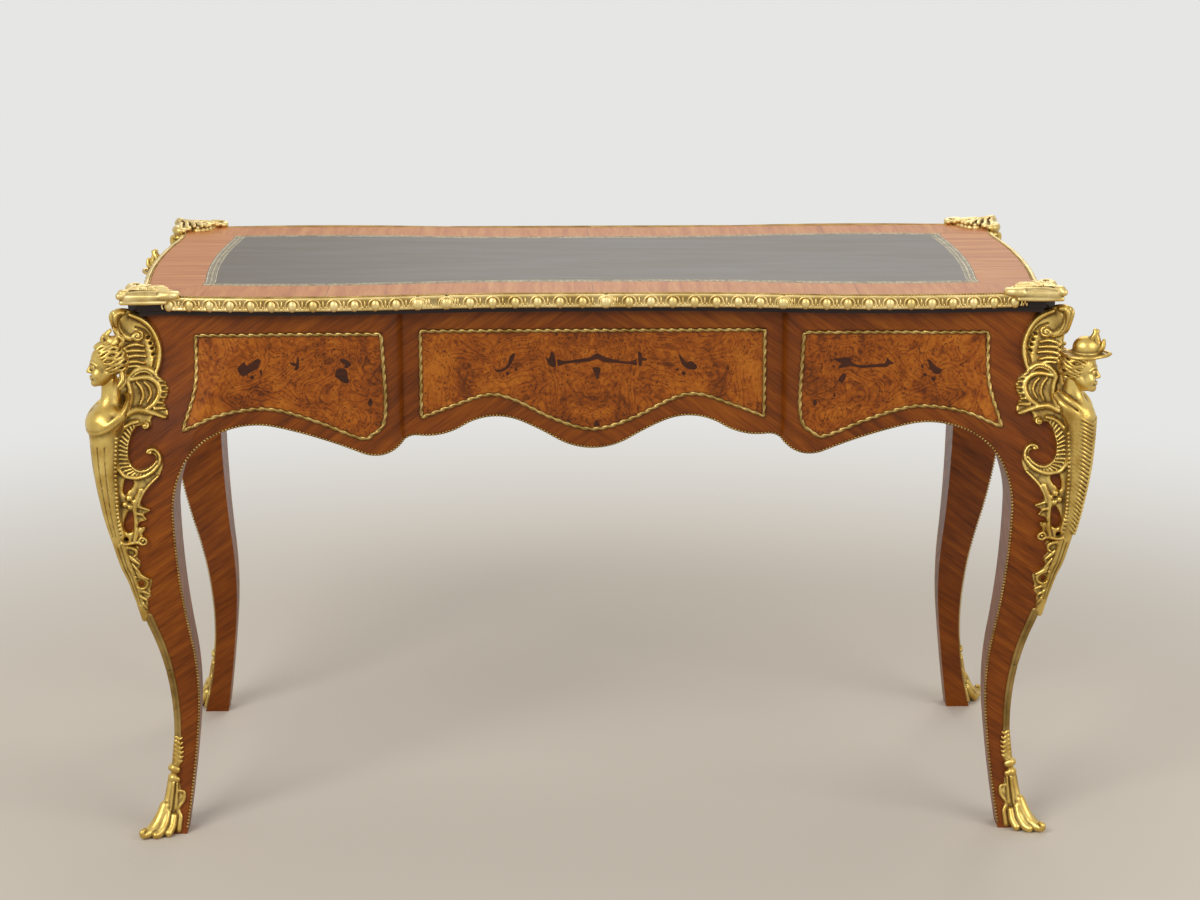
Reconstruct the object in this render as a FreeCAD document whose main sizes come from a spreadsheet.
import FreeCAD, Part
import math
import os
from FreeCAD import Vector

# Bureau plat: a serpentine writing table on cabriole legs, with gilt mounts.
# Frame: origin on the floor under the middle, X along the length, Y towards the sitter, Z up.
# The visitor's side, with sham drawers, faces -Y. The three working drawers open towards +Y.

doc = FreeCAD.newDocument("bureau_plat")

# Driving dimensions, in millimetres.
SIZES = (
    ("top_height", 770.0, "floor to writing surface"),
    ("top_length", 1252.0, "top board, ear to ear, along the length"),
    ("top_depth", 594.0, "top board, ear to ear, front to back"),
    ("board_thick", 17.0, "top board"),
    ("veneer_thick", 2.0, "leather and crossbanding on the board"),
    ("ear_cant", 14.0, "flat cut across each corner of the board"),
    ("front_recess", 22.0, "middle of the long edges, set back from the ears"),
    ("side_neck", 14.0, "narrowest part of the short edges, set back from the ears"),
    ("band_front", 86.0, "crossbanding along the long edges"),
    ("band_side", 78.0, "crossbanding along the short edges"),
    ("stringing_width", 2.5, "brass line round the top"),
    ("stringing_proud", 0.3, "brass line above the writing surface"),
    ("moulding_proud", 7.0, "edge moulding, out from the board"),
    ("moulding_height", 18.0, "edge moulding"),
    ("moulding_chamfer", 2.5, "edge moulding, long outer edges"),
    ("cornice_height", 7.0, "dark moulding under the board"),
    ("cornice_inset", 5.0, "cornice, in from the board edge"),
    ("cornice_width", 96.0, "cornice frame, in from the board edge"),
    ("clasp_reach", 70.0, "corner clasp along each edge"),
    ("clasp_proud", 8.0, "corner clasp, out from the board edge"),
    ("clasp_rise", 6.0, "corner clasp above the writing surface"),
    ("clasp_drop", 14.0, "corner clasp down the board edge"),
    ("overhang", 22.0, "ears of the top, out from the leg posts"),
    ("post_width", 43.0, "leg post along the length"),
    ("post_depth", 60.0, "leg post front to back"),
    ("frieze_depth", 155.0, "top of the frieze to the crown of its arches"),
    ("frieze_recess", 20.0, "middle section, set back from the side sections"),
    ("section_half", 259.0, "half the width of the middle section"),
    ("return_width", 28.0, "rounded return between side and middle sections"),
    ("sweep_length", 145.0, "ends of the frieze that sweep out to meet the legs"),
    ("apron_thick", 24.0, "frieze boards, at their thinnest"),
    ("tenon_length", 19.0, "frieze and rail tenons"),
    ("tenon_thick", 14.0, "frieze tenons"),
    ("tenon_back", 4.0, "frieze tenons, in from the back of the board"),
    ("tenon_drop", 19.0, "frieze tenons below the top of the post"),
    ("tenon_rise", 12.0, "frieze tenons above the crown of the arches"),
    ("rail_shoulder", 3.0, "shoulder round the rail tenons"),
    ("lap_length", 26.0, "middle frieze board behind the side boards"),
    ("rail_depth", 40.0, "drawer rails front to back"),
    ("rail_thick", 18.0, "upper drawer rail and kickers"),
    ("blade_thick", 14.0, "lower drawer rail and runners"),
    ("partition_thick", 16.0, "partitions between the drawers"),
    ("partition_in", -6.0, "partitions, out from the edge of the middle section"),
    ("runner_rise", 21.0, "top of the runners above the crown of the arches"),
    ("runner_lap", 33.0, "outer runners, in from the posts"),
    ("runner_width", 60.0, "runners and kickers under and over the partitions"),
    ("guide_in", 3.0, "guides, in from the posts"),
    ("guide_height", 28.0, "guides beside the outer drawers"),
    ("drawer_front_thick", 22.0, "drawer fronts, at their thinnest"),
    ("drawer_side_thick", 12.0, "drawer sides"),
    ("drawer_back_thick", 10.0, "drawer backs"),
    ("drawer_bottom_thick", 6.0, "drawer bottoms"),
    ("drawer_headroom", 4.0, "drawer sides below the kickers"),
    ("drawer_rear_gap", 20.0, "drawer backs to the middle frieze board"),
    ("drawer_side_gap", 2.0, "drawer sides to partitions and guides"),
    ("tail_length", 12.0, "dovetails into the drawer fronts"),
    ("tail_flare", 2.0, "dovetails, wider at the end on each side"),
    ("groove_deep", 5.0, "groove for the drawer bottom"),
    ("groove_up", 7.0, "groove, up from the lower edge of the drawer side"),
    ("front_gap", 0.6, "drawer fronts to their neighbours"),
    ("runner_gap", 0.3, "drawer sides over the runners"),
    ("seat_gap", 0.1, "metal mounts to the wood they cover"),
    ("front_corner_drop", 62.0, "frieze at the legs, long sides, below the crown of the arches"),
    ("end_corner_drop", 34.0, "frieze at the legs, ends, below the crown of the arches"),
    ("frame_margin", 29.0, "rope frames below the top of the frieze"),
    ("rope_width", 6.0, "rope frames round the panels"),
    ("rope_proud", 4.0, "rope frames, out from the wood"),
    ("mount_thick", 6.0, "cast mounts on the leg faces"),
    ("strip_width", 6.5, "brass strip on the leg corner, on each face"),
    ("strip_proud", 2.5, "brass strip, out from the wood"),
    ("figure_drop", 312.0, "top of the post to the foot of the figure mount"),
    ("leaf_drop", 424.0, "top of the post to the foot of the knee leaf"),
    ("sabot_height", 137.0, "sabots"),
    ("mount_gap", 0.5, "between one mount on the leg and the next"),
    ("block_size", 16.0, "glue blocks behind the frieze"),
)
sheet = doc.addObject("Spreadsheet::Sheet", "sizes")
for row, (alias, value, note) in enumerate(SIZES, 1):
    sheet.set("A%d" % row, note)
    sheet.set("B%d" % row, str(value))
    sheet.setAlias("B%d" % row, alias)
doc.recompute()
size = {alias: float(sheet.get(alias)) for alias, value, note in SIZES}

# Places worked out from the driving dimensions.
PLACES = (
    ("leg_height", "sizes.top_height - sizes.veneer_thick - sizes.board_thick - sizes.cornice_height"),
    ("board_low", "leg_height + sizes.cornice_height"),
    ("board_high", "board_low + sizes.board_thick"),
    ("half_x", "sizes.top_length / 2"),
    ("half_y", "sizes.top_depth / 2"),
    ("post_x", "half_x - sizes.overhang"),
    ("post_y", "half_y - sizes.overhang"),
    ("post_in_x", "post_x - sizes.post_width"),
    ("post_in_y", "post_y - sizes.post_depth"),
    ("crown", "leg_height - sizes.frieze_depth"),
    ("middle_y", "post_y - sizes.frieze_recess"),
    ("side_back", "post_y - sizes.apron_thick"),
    ("middle_back", "middle_y - sizes.apron_thick"),
    ("end_back", "post_x - sizes.apron_thick"),
    ("rail_front", "middle_back"),
    ("rail_back", "rail_front - sizes.rail_depth"),
    ("rail_low", "leg_height - sizes.rail_thick"),
    ("runner_top", "crown + sizes.runner_rise"),
    ("runner_low", "runner_top - sizes.blade_thick"),
    ("partition_mid", "sizes.section_half + sizes.partition_in + sizes.partition_thick / 2"),
    ("outer_runner_x", "post_in_x - sizes.runner_lap"),
    ("outer_runner_y", "post_in_y - sizes.runner_lap / 4"),
)
places = doc.addObject("Spreadsheet::Sheet", "places")
for row, (alias, formula) in enumerate(PLACES, 1):
    places.set("A%d" % row, alias)
    places.set("B%d" % row, "=" + formula)
    places.setAlias("B%d" % row, alias)
    doc.recompute()
place = {alias: float(places.get(alias)) for alias, formula in PLACES}
leg_height = place["leg_height"]
board_low = place["board_low"]
board_high = place["board_high"]
half_x = place["half_x"]
half_y = place["half_y"]
post_x = place["post_x"]
post_y = place["post_y"]
post_in_x = place["post_in_x"]
post_in_y = place["post_in_y"]
crown = place["crown"]
middle_y = place["middle_y"]
side_back = place["side_back"]
middle_back = place["middle_back"]
end_back = place["end_back"]
rail_front = place["rail_front"]
rail_back = place["rail_back"]
rail_low = place["rail_low"]
runner_top = place["runner_top"]
runner_low = place["runner_low"]
partition_mid = place["partition_mid"]
REACH = 120.0
STRAIGHT = 1e-4
TABLE_STEPS = 24
SHARPEST = 0.35
CORNER_TRIES = 4
CORNER_CLEAR = 20.0
MOUNT_STEPS = 4
FLATS = 6

X_AXIS = Vector(1, 0, 0)
Y_AXIS = Vector(0, 1, 0)
Z_AXIS = Vector(0, 0, 1)
ORIGIN = Vector(0, 0, 0)
DIAGONAL = Vector(1, 1, 0).normalize()
ACROSS = Vector(-1, 1, 0).normalize()
CORNERS = {
    "front_left": (-1, -1),
    "front_right": (1, -1),
    "back_left": (-1, 1),
    "back_right": (1, 1),
}
sub_parts = []


def register(obj, label):
    """Give a sub-part the label that names its file."""
    obj.Label = label
    sub_parts.append(obj)
    return obj


def feature(label, shape):
    """A sub-part whose shape is worked out here from the sheet's values."""
    obj = doc.addObject("Part::Feature", label)
    obj.Shape = shape
    obj.Placement = FreeCAD.Placement()
    return register(obj, label)


def group(shapes):
    """Separate solids that share one sub-part."""
    return Part.makeCompound(shapes)


def mirrored(shape, sign_x, sign_y):
    """A shape built in the +X +Y quarter, carried to another quarter."""
    result = shape
    if sign_x < 0:
        result = result.mirror(ORIGIN, X_AXIS)
    if sign_y < 0:
        result = result.mirror(ORIGIN, Y_AXIS)
    return result


def on_corners(shape, corners):
    """A casting of the +X +Y quarter, repeated on the named corners."""
    repeats = [mirrored(shape, *CORNERS[corner]) for corner in corners]
    return group([solid for repeat in repeats for solid in repeat.Solids])


def flowing(points, way):
    """Arcs through points, each tangent to the last, that leave the first point in a given direction.

    Like every stretch of an outline, the result is a list of pieces: two points for a line,
    three for an arc.
    """
    heading = Vector(*way, 0).normalize()
    pieces = []
    for first, second in zip(points, points[1:]):
        chord = Vector(*second, 0) - Vector(*first, 0)
        share = heading.dot(chord) / chord.Length**2
        sideways = heading - chord * share
        if sideways.Length < STRAIGHT:
            pieces.append((first, second))
        else:
            bulge = chord.Length / 2 * math.tan(heading.getAngle(chord) / 2)
            middle = Vector(*first, 0) + chord / 2 + sideways.normalize() * bulge
            pieces.append((first, (middle.x, middle.y), second))
        heading = (chord * (2 * share) - heading).normalize()
    return pieces


def straight(points):
    """Lines from point to point."""
    return list(zip(points, points[1:]))


def moved(pieces, change):
    """Pieces with each point (a, b) put through a change."""
    return [tuple(change(a, b) for a, b in piece) for piece in pieces]


def backwards(pieces):
    """The same stretch, drawn from its other end."""
    return [piece[::-1] for piece in reversed(pieces)]


def both_ways(half):
    """A half stretch that starts on the axis, with its mirror image before it."""
    return backwards(moved(half, lambda a, b: (-a, b))) + half


def outline(*stretches):
    """A closed outline: stretches in order, joined by straight lines where they don't meet."""
    pieces = []
    for index, stretch in enumerate(stretches):
        end = stretch[-1][-1]
        start = stretches[(index + 1) % len(stretches)][0][0]
        pieces += stretch
        if Vector(*end, 0).distanceToPoint(Vector(*start, 0)) > STRAIGHT:
            pieces.append((end, start))
    return pieces


def drawn(points):
    """Line or arc through two or three points."""
    return Part.LineSegment(*points) if len(points) == 2 else Part.ArcOfCircle(*points)


def face_of(pieces):
    """A flat face inside a closed outline of pieces in space."""
    return Part.Face(Part.Wire([drawn(piece).toShape() for piece in pieces]))


def plan(pieces, z=0.0):
    """Plan pieces (x, y) at one height."""
    return [[Vector(x, y, z) for x, y in piece] for piece in pieces]


def front_view(pieces, y=0.0):
    """Front elevation pieces (x, z) in one plane."""
    return [[Vector(x, y, z) for x, z in piece] for piece in pieces]


def side_view(pieces, x=0.0):
    """Side elevation pieces (y, z) in one plane."""
    return [[Vector(x, y, z) for y, z in piece] for piece in pieces]


def box(x_low, x_high, y_low, y_high, z_low, z_high):
    """A block between two corners."""
    corner = Vector(x_low, y_low, z_low)
    return Part.makeBox(x_high - x_low, y_high - y_low, z_high - z_low, corner)


def drawn_out(face, way):
    """A face drawn out into a solid, with its outside outwards."""
    solid = face.extrude(way)
    if solid.Volume < 0:
        solid.reverse()
    return solid


def value_along(pieces, where):
    """Second coordinate of a stretch, at one value of the first."""
    table = []
    for piece in plan(pieces):
        table += drawn(piece).toShape().discretize(Number=TABLE_STEPS)
    for left, right in zip(table, table[1:]):
        if min(left.x, right.x) <= where <= max(left.x, right.x) and left.x != right.x:
            share = (where - left.x) / (right.x - left.x)
            return left.y + share * (right.y - left.y)
    nearest = min((table[0], table[-1]), key=lambda spot: abs(spot.x - where))
    return nearest.y


def parallel(points, distance):
    """A closed line, run counter-clockwise, moved outwards by a distance."""
    count = len(points)
    result = []
    for index, point in enumerate(points):
        here = Vector(*point, 0)
        first = (here - Vector(*points[index - 1], 0)).normalize()
        second = (Vector(*points[(index + 1) % count], 0) - here).normalize()
        bisector = (first + second).normalize()
        stretch = distance / max(bisector.dot(first), SHARPEST)
        result.append((point[0] + bisector.y * stretch, point[1] - bisector.x * stretch))
    return result


# Plan of the top, drawn with arcs from the middle of each edge to the ear.
# Long edge: (share of the half length, setback as a share of the middle recess).
LONG_EDGE = ((0.0, 1.0), (0.153, 0.995), (0.398, 0.495), (0.887, 0.382))
# Short edge: (share of the half depth, setback as a share of the neck).
SHORT_EDGE = ((0.0, 0.32), (0.56, 0.9))
ALONG = (1.0, 0.0)
# An ear moves along its edge by this share of an inset.
EAR_SHARE = 0.4


def long_edge(inset):
    """Points of the right half of the long edge, moved in by an inset, as (x, y)."""
    points = [(share * half_x, half_y - inset - setback * size["front_recess"])
              for share, setback in LONG_EDGE]
    return points + [(half_x - size["ear_cant"] - inset * EAR_SHARE, half_y - inset)]


def short_edge(inset):
    """Points of the upper half of the short edge, moved in by an inset, as (y, x)."""
    points = [(share * half_y, half_x - inset - setback * size["side_neck"])
              for share, setback in SHORT_EDGE]
    return points + [(half_y - size["ear_cant"] - inset * EAR_SHARE, half_x - inset)]


def four_edges(long_half, short_half):
    """Closed plan with two long and two short edges, each given by half its points."""
    front = both_ways(flowing(long_half, ALONG))
    side = both_ways(flowing(short_half, ALONG))
    return outline(moved(front, lambda x, y: (x, -y)), moved(side, lambda y, x: (x, y)),
                   moved(front, lambda x, y: (-x, y)), moved(side, lambda y, x: (-x, -y)))


def board_plan(inset):
    """Closed plan of the top: four serpentine edges and four canted ears."""
    return four_edges(long_edge(inset), short_edge(inset))


def leather_plan(inset):
    """Closed plan of the leather, parallel to the edges of the top."""
    long_half = long_edge(size["band_front"])
    short_half = short_edge(size["band_side"])
    corner_x = half_x - size["band_side"] - size["side_neck"]
    corner_y = half_y - size["band_front"]
    for _ in range(CORNER_TRIES):
        corner_y = value_along(flowing(long_half, ALONG), corner_x)
        corner_x = value_along(flowing(short_half, ALONG), corner_y)
    long_half = [(x, y) for x, y in long_half if x < corner_x - CORNER_CLEAR] + [(corner_x, corner_y)]
    short_half = [(y, x) for y, x in short_half if y < corner_y - CORNER_CLEAR] + [(corner_y, corner_x)]
    long_half = [(x, y - inset) for x, y in long_half[:-1]] + [(corner_x - inset, corner_y - inset)]
    short_half = [(y, x - inset) for y, x in short_half[:-1]] + [(corner_y - inset, corner_x - inset)]
    return four_edges(long_half, short_half)


def slab(pieces, z_low, z_high):
    """A flat plate with a plan outline."""
    face = face_of(plan(pieces, z_low))
    return drawn_out(face, Vector(0, 0, z_high - z_low))


def padded_plate(label, pieces, thickness, height):
    """A plate padded from a plan sketch, with its thickness and height bound to the sheet."""
    body = doc.addObject("PartDesign::Body", label)
    sketch = body.newObject("Sketcher::SketchObject", label + "_plan")
    ground = [item for item in body.Origin.OriginFeatures if item.Role == "XY_Plane"][0]
    sketch.AttachmentSupport = [(ground, "")]
    sketch.MapMode = "FlatFace"
    sketch.setExpression("AttachmentOffset.Base.z", height)
    for piece in plan(pieces):
        sketch.addGeometry(drawn(piece), False)
    pad = body.newObject("PartDesign::Pad", label + "_pad")
    pad.Profile = sketch
    pad.setExpression("Length", thickness)
    return body


# Cabriole leg, drawn in a local plane: u outwards from the face of the post, z up.
# Outer line from the top down: (share of the leg height, u), and its direction at the top.
LEG_OUTER = ((1.0, 0.0), (0.804, 28.0), (0.613, 38.7), (0.405, 4.4), (0.154, -18.1), (0.0, 2.7))
LEG_OUTER_WAY = (0.112, -1.0)
# Inner line from the foot up: (share of the height of the frieze's corner, u), and its first direction.
LEG_INNER = ((0.0, -33.0), (0.305, -52.4), (0.537, -48.9), (0.898, -34.2))
LEG_INNER_WAY = (-0.158, 1.0)
# Lower corners of the frieze beside the legs, below the crown of the arches.
corner_x_z = crown - size["front_corner_drop"]
corner_y_z = crown - size["end_corner_drop"]
# Out from the face of the post at the end of the frieze's sweep, past the leg's outer line.
SWEEP_OUT = 44.0
# Where the inner line turns under an end frieze: (u, height above the crown).
KNEE_TURN = (-52.0, -38.0)


def leg_outer(extra=0.0):
    """Outer line of the leg from the top down, moved outwards by an extra."""
    return flowing([(u + extra, share * leg_height) for share, u in LEG_OUTER], LEG_OUTER_WAY)


def leg_inner(turn):
    """Inner line of the leg from the foot to the frieze's corner, and round a turn of further points."""
    points = [(u, share * corner_x_z) for share, u in LEG_INNER] + [(-size["post_width"], corner_x_z)]
    return flowing(points, LEG_INNER_WAY) + straight(points[-1:] + turn)


def end_turn():
    """Points that lead the inner line to the corner of an end frieze."""
    return [(KNEE_TURN[0], crown + KNEE_TURN[1]), (-size["post_depth"], corner_y_z)]


def outer_at(z, extra=0.0):
    """How far the outer line stands out at a height."""
    return value_along(moved(leg_outer(), lambda u, height: (height, u)), z) + extra


def leg_profile(turn):
    """Closed leg profile that ends in the frieze's corner at its inner top."""
    inner = leg_inner(turn)
    return outline(leg_outer(), inner, straight([inner[-1][-1], (inner[-1][-1][0], leg_height)]))


def at_post_x(pieces):
    """Leg pieces (u, z) set out from the outer face of the post along the length."""
    return moved(pieces, lambda u, z: (post_x + u, z))


def at_post_y(pieces):
    """Leg pieces (u, z) set out from the outer face of the post front to back."""
    return moved(pieces, lambda u, z: (post_y + u, z))


def crossed(profile_x, profile_y):
    """The solid that shows one profile from the front and the other from the side."""
    sawn_front = prism_y(at_post_x(profile_x), post_y - REACH, post_y + REACH)
    return sawn_front.common(prism_x(at_post_y(profile_y), post_x - REACH, post_x + REACH))


def leg_solid():
    """One leg sawn to its profile from two sides."""
    return crossed(leg_profile([]), leg_profile(end_turn()))


def leg_keepout():
    """The leg with the seat gap round its outer faces, for cutting mounts to it."""
    gap = size["seat_gap"]
    deep = -2 * size["post_depth"]
    profile = outline(leg_outer(gap), straight([(gap, -gap), (deep, -gap), (deep, leg_height)]))
    return crossed(profile, profile)


# Frieze. Lower edges: (share of the section, height above the crown), with the first direction.
SIDE_LOWER = ((0.0, -26.0), (0.189, -40.0), (0.583, -2.5), (0.852, -11.0))
SIDE_LOWER_WAY = (0.643, -0.766)
MIDDLE_LOWER = ((0.0, -39.0), (0.195, -25.0), (0.376, -1.0), (0.689, -7.0), (0.924, -20.0), (1.0, -26.0))
END_LOWER = ((0.0, -39.0), (0.164, -32.0), (0.252, -21.5), (0.894, -13.5))


def side_lower():
    """Lower edge of a side section, from the middle section to the leg, as (x, z)."""
    span = post_in_x - size["section_half"]
    points = [(size["section_half"] + share * span, crown + rise) for share, rise in SIDE_LOWER]
    return flowing(points + [(post_in_x, corner_x_z)], SIDE_LOWER_WAY)


def middle_lower():
    """Lower edge of the middle section from end to end, as (x, z)."""
    points = [(share * size["section_half"], crown + rise) for share, rise in MIDDLE_LOWER]
    return both_ways(flowing(points, ALONG))


def end_lower():
    """Lower edge of an end frieze from post to post, as (y, z)."""
    points = [(share * post_in_y, crown + rise) for share, rise in END_LOWER]
    return both_ways(flowing(points + [(post_in_y, corner_y_z)], ALONG))


def side_block():
    """Block of a side section: rounded by the middle section, and sweeping out to meet the leg."""
    first = size["section_half"]
    flat = first + size["return_width"]
    rounded = backwards(flowing([(flat, post_y), (first, middle_y)], (-1.0, 0.0)))
    sweep = flowing([(post_in_x - size["sweep_length"], post_y), (post_in_x, post_y + SWEEP_OUT)], ALONG)
    in_plan = outline(rounded, sweep, straight([(post_in_x, 0.0), (first, 0.0)]))
    upright = outline(at_post_y(leg_outer()), straight([(0.0, 0.0), (0.0, leg_height)]))
    return slab(in_plan, 0.0, leg_height).common(prism_x(upright, first, post_in_x))


def end_block():
    """Block of an end frieze, sweeping out to meet the legs at both ends."""
    sweep = flowing([(post_in_y - size["sweep_length"], post_x), (post_in_y, post_x + SWEEP_OUT)], ALONG)
    front = straight([(0.0, post_x), sweep[0][0]]) + sweep
    in_plan = outline(both_ways(front), straight([(post_in_y, 0.0), (-post_in_y, 0.0)]))
    in_plan = moved(in_plan, lambda y, x: (x, y))
    upright = outline(at_post_x(leg_outer()), straight([(0.0, 0.0), (0.0, leg_height)]))
    return slab(in_plan, 0.0, leg_height).common(prism_y(upright, -post_in_y, post_in_y))


def middle_block():
    """Block of the middle section, flat in front."""
    half = size["section_half"]
    return box(-half, half, 0.0, middle_y, 0.0, leg_height)


def trim_on(block, outward, sawn, proud):
    """Metal trim of even thickness on the face of a block."""
    seat = block.translated(outward * size["seat_gap"])
    face = block.translated(outward * (size["seat_gap"] + proud))
    return sawn.common(face).cut(seat)


def prism_y(pieces, y_low, y_high):
    """A front elevation outline, sawn through from one depth to another."""
    return drawn_out(face_of(front_view(pieces, y_low)), Vector(0, y_high - y_low, 0))


def prism_x(pieces, x_low, x_high):
    """A side elevation outline, sawn through from one length to another."""
    return drawn_out(face_of(side_view(pieces, x_low)), Vector(x_high - x_low, 0, 0))


def above(lower, top):
    """Closed elevation outline above a lower edge."""
    left, right = lower[0][0][0], lower[-1][-1][0]
    return outline(lower, straight([(right, top), (left, top)]))


def side_board(back, gap, top):
    """Side section of the frieze in the +X +Y quarter, short of its neighbours by a gap."""
    room = box(size["section_half"] + gap, post_in_x - gap, back, post_y + REACH, 0.0, top)
    sawn = prism_y(above(side_lower(), top), back, post_y + REACH)
    return sawn.common(room).common(SIDE_BLOCK)


def middle_board(back, gap, top):
    """Middle section of the frieze on the +Y side, short of its neighbours by a gap."""
    half = size["section_half"] - gap
    room = box(-half, half, back, middle_y + REACH, 0.0, top)
    sawn = prism_y(above(middle_lower(), top), back, middle_y + REACH).common(room)
    return sawn.common(MIDDLE_BLOCK)


SIDE_BLOCK = side_block()
MIDDLE_BLOCK = middle_block()
END_BLOCK = end_block()


# Rope frames: closed lines of points, counter-clockwise with the first coordinate to the right.
# Side section, lower edge: (share of the frame's width, height above the crown).
SIDE_FRAME = ((0.055, -13.5), (0.13, -18.0), (0.37, 6.0), (0.62, 23.0), (0.88, 18.0))
# Middle and end sections, half the lower edge: (share of the half width, height above the crown).
MIDDLE_FRAME = ((0.0, -12.0), (0.23, 3.0), (0.46, 30.0), (0.61, 37.0), (0.8, 23.0), (1.0, 5.0))
END_FRAME = ((0.0, -11.0), (0.22, 0.0), (0.42, 18.0), (0.64, 26.0), (1.0, 1.0))
# Upright beside a leg, from its waist: (distance towards the leg, height above the crown).
FRAME_SIDE = ((1.0, 60.0),)
FRAME_WAIST = 24.0
FRAME_FOOT = 6.0
# Lower corner beside the middle section: (distance towards the middle, height above the crown).
FRAME_CORNER = (4.0, 14.0)
frame_top = leg_height - size["frame_margin"]


def side_frame():
    """Line of the rope frame on a side section, as (x, z)."""
    inner = size["section_half"] + size["return_width"]
    waist = post_in_x - FRAME_WAIST
    points = [(inner + share * (waist - inner), crown + rise) for share, rise in SIDE_FRAME]
    points.append((post_in_x - FRAME_FOOT, crown))
    points += [(waist + out, crown + rise) for out, rise in FRAME_SIDE]
    return points + [(waist, frame_top), (inner, frame_top),
                     (inner - FRAME_CORNER[0], crown + FRAME_CORNER[1])]


def mirror_line(half):
    """Points from the axis outwards, with their mirror image before them."""
    return [(-a, b) for a, b in reversed(half[1:])] + half


def middle_frame():
    """Line of the rope frame on the middle section, as (x, z)."""
    half = size["section_half"] - FRAME_WAIST
    points = mirror_line([(share * half, crown + rise) for share, rise in MIDDLE_FRAME])
    return points + [(half, frame_top), (-half, frame_top)]


def end_frame():
    """Line of the rope frame on an end frieze, as (y, z)."""
    half = post_in_y - FRAME_FOOT
    waist = post_in_y - FRAME_WAIST
    points = mirror_line([(share * half, crown + rise) for share, rise in END_FRAME])
    upright_side = [(waist + out, crown + rise) for out, rise in FRAME_SIDE] + [(waist, frame_top)]
    return points + upright_side + [(-y, z) for y, z in reversed(upright_side)]


def ring(prism, line, low, high):
    """The band between two parallels of a closed line, sawn through."""
    half = size["rope_width"] / 2
    outer = prism(outline(straight(parallel(line, half))), low, high)
    return outer.cut(prism(outline(straight(parallel(line, -half))), low, high))


def side_rope():
    """Rope frame of a side section in the +X +Y quarter."""
    return trim_on(SIDE_BLOCK, Y_AXIS, ring(prism_y, side_frame(), 0.0, post_y + REACH), size["rope_proud"])


def middle_rope():
    """Rope frame of the middle section on the +Y side."""
    sawn = ring(prism_y, middle_frame(), 0.0, post_y + REACH)
    return trim_on(MIDDLE_BLOCK, Y_AXIS, sawn, size["rope_proud"])


def end_rope():
    """Rope frame of an end frieze on the +X side."""
    return trim_on(END_BLOCK, X_AXIS, ring(prism_x, end_frame(), 0.0, post_x + REACH), size["rope_proud"])


# Cast mounts on the outer corner of the leg.
def corner_mount(inner, outer):
    """A casting that wraps the leg corner, between an inner line from the foot up and an outer line down."""
    profile = outline(straight(inner), straight(outer))
    return crossed(profile, profile).cut(LEG_KEEPOUT)


def outer_between(high, low, extra):
    """Stretch of the outer line between two heights, from the top down."""
    heights = [high + (low - high) * step / MOUNT_STEPS for step in range(MOUNT_STEPS + 1)]
    return [(outer_at(z, extra), z) for z in heights]


def from_post(points):
    """Points given as (u, drop below the top of the post)."""
    return [(u, leg_height - drop) for u, drop in points]


figure_base = leg_height - size["figure_drop"]
# Leaf tip at the head of the mount: rise above the figure's foot, and angle outwards.
CREST_RISE = 268.0
CREST_LEAN = 38.0


def carved(u, profile, lean=0.0, breadth=1.0):
    """A form on the diagonal of the corner, cut in flats round an upright or leaning axis.

    The profile lists (half depth, rise above the figure's foot). The axis starts at u and leans outwards
    by a share of the rise. Breadth widens the form across the diagonal.
    """
    foot = Vector(post_x + u, post_y + u, figure_base)
    rings = []
    for depth, rise in profile:
        corners = []
        for step in range(FLATS):
            turn = 2 * math.pi * (step + 0.5) / FLATS
            out = DIAGONAL * (depth * math.cos(turn) + lean * rise)
            corners.append(foot + out + ACROSS * (breadth * depth * math.sin(turn)) + Z_AXIS * rise)
        rings.append(corners + corners[:1])
    loops = [rings[0], rings[-1]]
    for low, high in zip(rings, rings[1:]):
        for step in range(FLATS):
            loops.append([low[step], low[step + 1], high[step + 1], high[step], low[step]])
    solid = Part.Solid(Part.Shell([Part.Face(Part.makePolygon(loop)) for loop in loops]))
    if solid.Volume < 0:
        solid.reverse()
    return solid


def term_solid():
    """Tapering body of the figure, from the leaves at its foot to the neck."""
    profile = ((8.0, 1.0), (16.0, 48.0), (23.0, 130.0), (26.0, 165.0), (11.5, 205.0))
    return carved(31.0, profile, 0.114, 1.12)


def head_solid():
    """Head and hair of the figure, an egg on the neck."""
    profile = ((9.0, 202.0), (19.0, 221.0), (24.5, 252.0), (8.0, 282.0))
    return carved(47.0, profile)


def topknot():
    """Knot of hair on the crown of the head."""
    return carved(37.0, ((5.0, 272.0), (10.0, 281.0), (4.0, 291.0)))


def hat():
    """Round hat with a turned-up brim."""
    profile = ((22.0, 260.0), (34.0, 268.0), (20.0, 269.0), (12.0, 288.0))
    return carved(47.0, profile)


def crest():
    """Curled leaf tip at the head of the mount, below the clasp."""
    upright = carved(0.0, ((9.0, CREST_RISE), (9.5, CREST_RISE + 16.0), (6.0, CREST_RISE + 34.0)))
    return upright.rotated(Vector(post_x, post_y, figure_base + CREST_RISE), ACROSS, CREST_LEAN)


# Edge of the wings from the foot up, as (u, drop below the leg's top).
WING_FOOT = ((12.0, size["figure_drop"]), (-6.0, 278.0), (2.0, 256.0), (-27.0, 202.0), (-12.0, 178.0))
WING_HOLLOW = ((-12.0, 178.0), (8.0, 194.0), (14.0, 162.0), (-10.0, 154.0))
WING_SHELL = ((-10.0, 154.0), (-36.0, 138.0), (-25.0, 86.0), (-30.0, 50.0), (0.0, 5.0))
# Leaf-shaped piercings of the wings: (u, drop below the top of the post, half width).
PIERCINGS = ((8.0, 250.0, 6.0), (-18.0, 118.0, 5.0))


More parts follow.
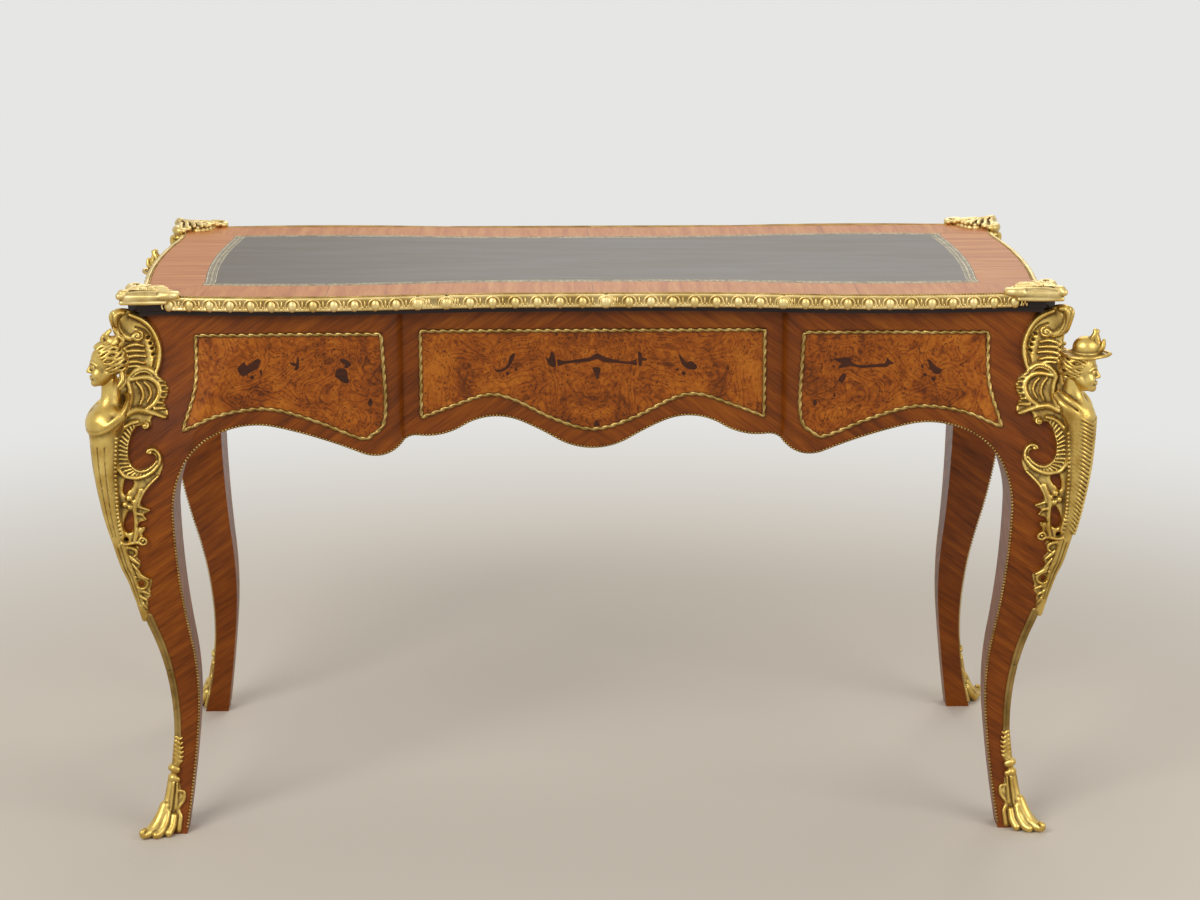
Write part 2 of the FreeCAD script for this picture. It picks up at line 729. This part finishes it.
def figure_wings():
    """Openwork of scrolls and shell on the two faces of the leg."""
    lower = from_post(WING_FOOT)
    hollow = from_post(WING_HOLLOW)
    shell = from_post(WING_SHELL)
    high, low = shell[-1][1], lower[0][1]
    edge = [(-size["post_width"], low), (-size["post_width"], high)]
    wings = corner_mount(edge, outer_between(high, low, size["mount_thick"]))
    shape = outline(straight(lower + hollow[1:] + shell[1:]), straight([(REACH, high), (REACH, low)]))
    wings = wings.common(prism_y(at_post_x(shape), post_y - REACH, post_y + REACH))
    wings = wings.common(prism_x(at_post_y(shape), post_x - REACH, post_x + REACH))
    for u, drop, half in PIERCINGS:
        slot = from_post(((u, drop - 2 * half), (u - half, drop), (u, drop + 2 * half), (u + half, drop)))
        slot = outline(straight(slot))
        wings = wings.cut(prism_y(at_post_x(slot), post_y - REACH, post_y + REACH))
        wings = wings.cut(prism_x(at_post_y(slot), post_x - REACH, post_x + REACH))
    return wings


def term_room():
    """Room that the wings leave on the corner for the figure's body."""
    room = ((-1.0, 12.0), (48.0, 22.0), (108.0, 25.5), (153.0, 19.0), (170.0, 12.0), (188.0, 3.0))
    inner = [(outer_at(figure_base + rise, -half), figure_base + rise) for rise, half in room]
    shape = outline(straight(inner), straight([(REACH, inner[-1][1]), (REACH, inner[0][1])]))
    return crossed(shape, shape)


def figure_mount(headdress):
    """Figure mount of the knee: openwork wings, and a term figure on the corner between them."""
    figure = term_solid().cut(LEG_KEEPOUT).fuse(head_solid()).fuse(headdress).removeSplitter()
    wings = figure_wings().cut(term_room()).fuse(crest().cut(LEG_KEEPOUT)).removeSplitter()
    return group(wings.Solids + figure.Solids)


# Edge of the knee leaf from its tip up: (u, share of its height), and its half width at the tip.
KNEE_EDGE = ((0.0, 0.16), (-4.0, 0.34), (-4.0, 0.6), (10.0, 0.77), (12.0, 1.0))
KNEE_TIP = 3.0


def knee_leaf():
    """Acanthus leaf below the figure."""
    high = figure_base - size["mount_gap"]
    tip = leg_height - size["leaf_drop"]
    inner = [(outer_at(tip, -KNEE_TIP), tip)] + [(u, tip + share * (high - tip)) for u, share in KNEE_EDGE]
    return corner_mount(inner, outer_between(high, tip, size["mount_thick"]))


def corner_strip():
    """Thin brass strip down the corner, between knee leaf and sabot."""
    high = leg_height - size["leaf_drop"] - size["mount_gap"]
    low = size["sabot_height"] + size["mount_gap"]
    inner = outer_between(high, low, -size["strip_width"])
    inner.reverse()
    return corner_mount(inner, outer_between(high, low, size["strip_proud"]))


# Sabot: its edge on the leg from the floor up, and its toe from the ankle down, as (u, share of its height).
SABOT_EDGE = ((-24.0, 0.0), (-26.0, 0.3), (-21.0, 0.45), (-27.0, 0.62), (-26.0, 0.8))
SABOT_TOE = ((-13.0, 0.8), (-6.0, 0.42), (3.0, 0.22), (20.0, 0.13), (29.0, 0.07), (27.0, 0.0))
SABOT_TIP = 5.0


def sabot():
    """Gilt shoe: a leaf up the corner and a scrolled toe on the floor."""
    high = size["sabot_height"]
    inner = [(u, share * high) for u, share in SABOT_EDGE] + [(outer_at(high, -SABOT_TIP), high)]
    outer = [(outer_at(high, size["strip_proud"]), high)] + [(u, share * high) for u, share in SABOT_TOE]
    return corner_mount(inner, outer)


LEG = leg_solid()
LEG_KEEPOUT = leg_keepout()


# Tenons, in the +X +Y quarter.
tenon_high = leg_height - size["tenon_drop"]
tenon_low = crown + size["tenon_rise"]


def side_tenon():
    """Tenon of a side frieze board in the leg post."""
    low = side_back + size["tenon_back"]
    return box(post_in_x, post_in_x + size["tenon_length"], low, low + size["tenon_thick"],
               tenon_low, tenon_high)


def end_tenon():
    """Tenon of an end frieze board in the leg post."""
    low = end_back + size["tenon_back"]
    return box(low, low + size["tenon_thick"], post_in_y, post_in_y + size["tenon_length"],
               tenon_low, tenon_high)


def rail_tenon(z_low, thick):
    """Tenon of a drawer rail in the leg post."""
    shoulder = size["rail_shoulder"]
    length = min(size["tenon_length"], end_back - post_in_x)
    return box(post_in_x, post_in_x + length, post_in_y + shoulder, rail_front - shoulder,
               z_low + shoulder, z_low + thick - shoulder)


# Top.
def crossbanding():
    """Veneered border between the leather and the brass line."""
    gap = size["seat_gap"]
    outer = slab(board_plan(size["stringing_width"] + gap), board_high, size["top_height"])
    return outer.cut(slab(leather_plan(-gap), board_high, size["top_height"]))


def along_edges(shape, z_low, z_high):
    """The four stretches of a ring between the corner clasps: front, back, left, right."""
    free_x = half_x - size["clasp_reach"] - size["seat_gap"]
    free_y = half_y - size["clasp_reach"] - size["seat_gap"]
    far = half_x + REACH
    regions = (box(-free_x, free_x, -far, -free_y, z_low, z_high),
               box(-free_x, free_x, free_y, far, z_low, z_high),
               box(-far, -free_x, -free_y, free_y, z_low, z_high),
               box(free_x, far, -free_y, free_y, z_low, z_high))
    return [shape.common(region) for region in regions]


def stringing():
    """Brass line let into the edge of the top, between the clasps."""
    low, high = board_high, size["top_height"] + size["stringing_proud"]
    line = slab(board_plan(0.0), low, high).cut(slab(board_plan(size["stringing_width"]), low, high))
    return along_edges(line, low, high)


def edge_moulding():
    """Four lengths of edge moulding, chamfered along their outer edges."""
    low, high = board_low, board_low + size["moulding_height"]
    near = size["seat_gap"]
    far = near + size["moulding_proud"]
    band = slab(board_plan(-far), low, high).cut(slab(board_plan(-near), low, high))
    lengths = []
    for piece in along_edges(band, low, high):
        outer_edges = []
        for z in (low, high):
            level = [edge for edge in piece.Edges
                     if abs(edge.CenterOfMass.z - z) < STRAIGHT and edge.Length > 2 * size["moulding_proud"]]
            outer_edges.append(max(level, key=lambda edge: edge.CenterOfMass.Length))
        lengths.append(piece.makeChamfer(size["moulding_chamfer"], outer_edges))
    return lengths


def cornice():
    """Dark moulding under the board: a frame of four mitred lengths."""
    plate = slab(board_plan(size["cornice_inset"]), leg_height, board_low)
    in_x = half_x - size["cornice_width"]
    in_y = half_y - size["cornice_width"]
    opening = box(-in_x, in_x, -in_y, in_y, leg_height, board_low)
    frame = plate.cut(opening)
    out_x = in_x + 2 * size["cornice_width"]
    out_y = in_y + 2 * size["cornice_width"]
    corners = [((-in_x, -in_y), (-out_x, -out_y)), ((in_x, -in_y), (out_x, -out_y)),
               ((in_x, in_y), (out_x, out_y)), ((-in_x, in_y), (-out_x, out_y))]
    lengths = []
    for index in range(4):
        inner, outer = corners[index]
        next_inner, next_outer = corners[(index + 1) % 4]
        mitre = slab(outline(straight([inner, outer, next_outer, next_inner])), leg_height, board_low)
        lengths.append(frame.common(mitre))
    return lengths


def clasp():
    """Leaf-shaped corner clasp in the +X +Y quarter: a plate on the top and a lip over the edge."""
    reach = size["clasp_reach"]
    spare = 2 * size["clasp_proud"]
    inner = [(-reach, -0.15 * reach), (-0.72 * reach, -0.32 * reach), (-0.66 * reach, -0.66 * reach),
             (-0.32 * reach, -0.72 * reach), (-0.15 * reach, -reach)]
    inner = [(half_x + x, half_y + y) for x, y in inner]
    far = (half_x + spare, half_y + spare)
    shape = outline(straight(inner + [(far[0], inner[-1][1]), far, (inner[0][0], far[1])]))
    low = size["top_height"] - size["clasp_drop"]
    high = size["top_height"] + size["clasp_rise"]
    gap = size["seat_gap"]
    plate = slab(shape, low, high).common(slab(board_plan(-size["clasp_proud"]), low, high))
    return plate.cut(slab(board_plan(-gap), low - gap, size["top_height"] + gap))


board = padded_plate("board_blank", board_plan(0.0), "sizes.board_thick", "places.board_low")
register(board, "top_board")
leather = padded_plate("leather_panel", leather_plan(0.0), "sizes.veneer_thick", "places.board_high")
register(leather, "writing_leather")
feature("top_crossbanding", crossbanding())
feature("top_stringing", group(stringing()))
feature("cornice_moulding", group(cornice()))
for side, piece in zip(("front", "back", "left", "right"), edge_moulding()):
    feature("edge_moulding_" + side, piece)
CLASP = clasp()
feature("corner_clasps", on_corners(CLASP, CORNERS))

# Legs, with mortises for frieze boards and rails.
lower_rail_tenon = rail_tenon(runner_low, size["blade_thick"])
upper_rail_tenon = rail_tenon(rail_low, size["rail_thick"])
for corner, (sign_x, sign_y) in CORNERS.items():
    leg = LEG.cut(end_tenon())
    if sign_y < 0:
        leg = leg.cut(side_tenon())
    else:
        leg = leg.cut(lower_rail_tenon).cut(upper_rail_tenon)
    feature("leg_" + corner, mirrored(leg, sign_x, sign_y))

# Frieze boards.
front_board = side_board(side_back, 0.0, leg_height).fuse(side_tenon()).removeSplitter()
feature("front_apron_left", mirrored(front_board, -1, -1))
feature("front_apron_right", mirrored(front_board, 1, -1))
lap = box(size["section_half"], size["section_half"] + size["lap_length"], middle_back, side_back,
          runner_low, leg_height)
middle = middle_board(middle_back, 0.0, leg_height)
middle = middle.fuse(lap).fuse(mirrored(lap, -1, 1)).removeSplitter()
feature("front_apron_center", mirrored(middle, 1, -1))
end_sawn = prism_x(above(end_lower(), leg_height), end_back, post_x + REACH)
end_board = end_sawn.common(END_BLOCK)
end_board = end_board.fuse(end_tenon()).fuse(mirrored(end_tenon(), 1, -1)).removeSplitter()
feature("side_apron_left", mirrored(end_board, -1, 1))
feature("side_apron_right", end_board)


# Drawer carcase.
def rail(z_low, thick, tenon):
    """A rail across the sitter's side, tenoned into the posts."""
    bar = box(-post_in_x, post_in_x, rail_back, rail_front, z_low, z_low + thick)
    return bar.fuse(tenon).fuse(mirrored(tenon, -1, 1)).removeSplitter()


feature("drawer_top_rail", rail(rail_low, size["rail_thick"], upper_rail_tenon))
feature("drawer_lower_rail", rail(runner_low, size["blade_thick"], lower_rail_tenon))


def bound_box(name, x, y, z, length, width, height):
    """A block whose corner and sides are bound to the sheets."""
    block = doc.addObject("Part::Box", name)
    block.setExpression("Length", length)
    block.setExpression("Width", width)
    block.setExpression("Height", height)
    block.setExpression("Placement.Base.x", x)
    block.setExpression("Placement.Base.y", y)
    block.setExpression("Placement.Base.z", z)
    return block


def compound(label, blocks):
    """Separate blocks that share one sub-part."""
    joined = doc.addObject("Part::Compound", label)
    joined.Links = blocks
    return register(joined, label)


for side, start in (("left", "-places.partition_mid - sizes.partition_thick / 2"),
                    ("right", "places.partition_mid - sizes.partition_thick / 2")):
    partition = bound_box("partition_" + side, start, "-places.middle_back", "places.runner_top",
                          "sizes.partition_thick", "places.middle_back + places.rail_front",
                          "places.rail_low - places.runner_top")
    register(partition, "partition_" + side)


def bearers(name, low, thick):
    """Four bearers between front and rail: one at each partition, one along each end."""
    inner = "places.rail_back + places.middle_back"
    outer = "places.rail_back + places.outer_runner_y"
    wide = "places.end_back - places.outer_runner_x"
    return [
        bound_box(name + "_1", "-places.partition_mid - sizes.runner_width / 2", "-places.middle_back",
                  low, "sizes.runner_width", inner, thick),
        bound_box(name + "_2", "places.partition_mid - sizes.runner_width / 2", "-places.middle_back",
                  low, "sizes.runner_width", inner, thick),
        bound_box(name + "_3", "-places.end_back", "-places.outer_runner_y", low, wide, outer, thick),
        bound_box(name + "_4", "places.outer_runner_x", "-places.outer_runner_y", low, wide, outer, thick),
    ]


compound("drawer_runners", bearers("runner", "places.runner_low", "sizes.blade_thick"))
guide_length = "places.rail_back + places.outer_runner_y"
guide_width = "places.end_back - places.post_in_x + sizes.guide_in"
guides = [
    bound_box("guide_1", "-places.end_back", "-places.outer_runner_y", "places.runner_top",
              guide_width, guide_length, "sizes.guide_height"),
    bound_box("guide_2", "places.post_in_x - sizes.guide_in", "-places.outer_runner_y",
              "places.runner_top", guide_width, guide_length, "sizes.guide_height"),
]
compound("drawer_guides", guides + bearers("kicker", "places.rail_low", "sizes.rail_thick"))

# Glue blocks: (share of half the middle section, back of the board they stand behind).
GLUE_BLOCKS = ((0.45, middle_back), (1.4, side_back), (1.8, side_back))
block = size["block_size"]
blocks = []
for sign in (-1, 1):
    for share, back in GLUE_BLOCKS:
        x = sign * share * size["section_half"]
        blocks.append(box(x - block, x + block, -back, -back + block, leg_height - block, leg_height))
feature("glue_blocks", group(blocks))

# Metal mounts on legs and frieze.
feature("figure_mounts_topknot", on_corners(figure_mount(topknot()), ("front_left", "back_right")))
feature("figure_mounts_hat", on_corners(figure_mount(hat()), ("front_right", "back_left")))
feature("knee_leaves", on_corners(knee_leaf(), CORNERS))
feature("sabots", on_corners(sabot(), CORNERS))
feature("corner_strips", on_corners(corner_strip(), CORNERS))
ropes = [mirrored(side_rope(), -1, -1), mirrored(middle_rope(), 1, -1), mirrored(side_rope(), 1, -1),
         mirrored(end_rope(), -1, 1), end_rope()]
feature("panel_frames", group(ropes))

# Drawers.
drawer_low = runner_top + size["runner_gap"]
drawer_high = rail_low - size["drawer_headroom"]
drawer_rear = -(middle_back - size["drawer_rear_gap"])
bottom_low = drawer_low + size["groove_up"]
bottom_high = bottom_low + size["drawer_bottom_thick"]
back_high = drawer_high - size["drawer_bottom_thick"]


TAILS = 2
# Wood between a tail and the edge of its room, in flares.
TAIL_SPACE = 2.5


def tails(x, y_root, y_end):
    """Dovetails on the end of a drawer side that starts at x."""
    flare = size["tail_flare"]
    room = (back_high - bottom_high) / TAILS
    solids = []
    for index in range(TAILS):
        middle_z = bottom_high + (index + 0.5) * room
        half = room / 2 - TAIL_SPACE * flare
        tail = [(y_root, middle_z - half), (y_end, middle_z - half - flare),
                (y_end, middle_z + half + flare), (y_root, middle_z + half)]
        solids.append(prism_x(outline(straight(tail)), x, x + size["drawer_side_thick"]))
    return solids


def drawer(name, x_low, x_high, front, brass):
    """A dovetailed drawer with its bottom in grooves, between two outer faces."""
    side = size["drawer_side_thick"]
    front_back = min(vertex.Y for vertex in front.Vertexes)
    rear = drawer_rear + size["drawer_back_thick"]
    deep = size["groove_deep"]
    panel = box(x_low + side - deep, x_high - side + deep, drawer_rear, front_back + deep,
                bottom_low, bottom_high)
    all_tails = []
    sides = []
    for x in (x_low, x_high - side):
        pins = tails(x, front_back, front_back + size["tail_length"]) + tails(x, rear, drawer_rear)
        board = box(x, x + side, rear, front_back, drawer_low, drawer_high)
        sides.append(board.cut(panel).fuse(pins).removeSplitter())
        all_tails += pins
    back = box(x_low, x_high, drawer_rear, rear, bottom_high, back_high).cut(group(all_tails))
    feature("drawer_%s_front" % name, front.cut(group(all_tails)).cut(panel))
    feature("drawer_%s_sides" % name, group(sides))
    feature("drawer_%s_back" % name, back)
    feature("drawer_%s_bottom" % name, panel)
    feature("drawer_%s_brass" % name, brass)


gap = size["front_gap"]
front_top = leg_height - gap
inner_face = partition_mid + size["partition_thick"] / 2 + size["drawer_side_gap"]
outer_face = post_in_x - size["guide_in"] - size["drawer_side_gap"]
middle_face = partition_mid - size["partition_thick"] / 2 - size["drawer_side_gap"]
side_front = side_board(post_y - size["drawer_front_thick"], gap, front_top)
middle_front = middle_board(middle_y - size["drawer_front_thick"], gap, front_top)
drawer("right", inner_face, outer_face, side_front, side_rope())
drawer("center", -middle_face, middle_face, middle_front, middle_rope())
drawer("left", -outer_face, -inner_face, mirrored(side_front, -1, 1),
       mirrored(side_rope(), -1, 1))

# Nothing is written unless every piece is sound.
doc.recompute()
for obj in doc.Objects:
    if "Invalid" in obj.State or "Error" in obj.State:
        raise RuntimeError("failed: " + obj.Label)
for obj in sub_parts:
    if obj.Shape.isNull() or not obj.Shape.isValid():
        raise RuntimeError("not a sound shape: " + obj.Label)
os.makedirs("parts", exist_ok=True)
for obj in sub_parts:
    obj.Shape.exportStep("parts/%s.step" % obj.Label)
print("wrote %d sub-parts" % len(sub_parts))
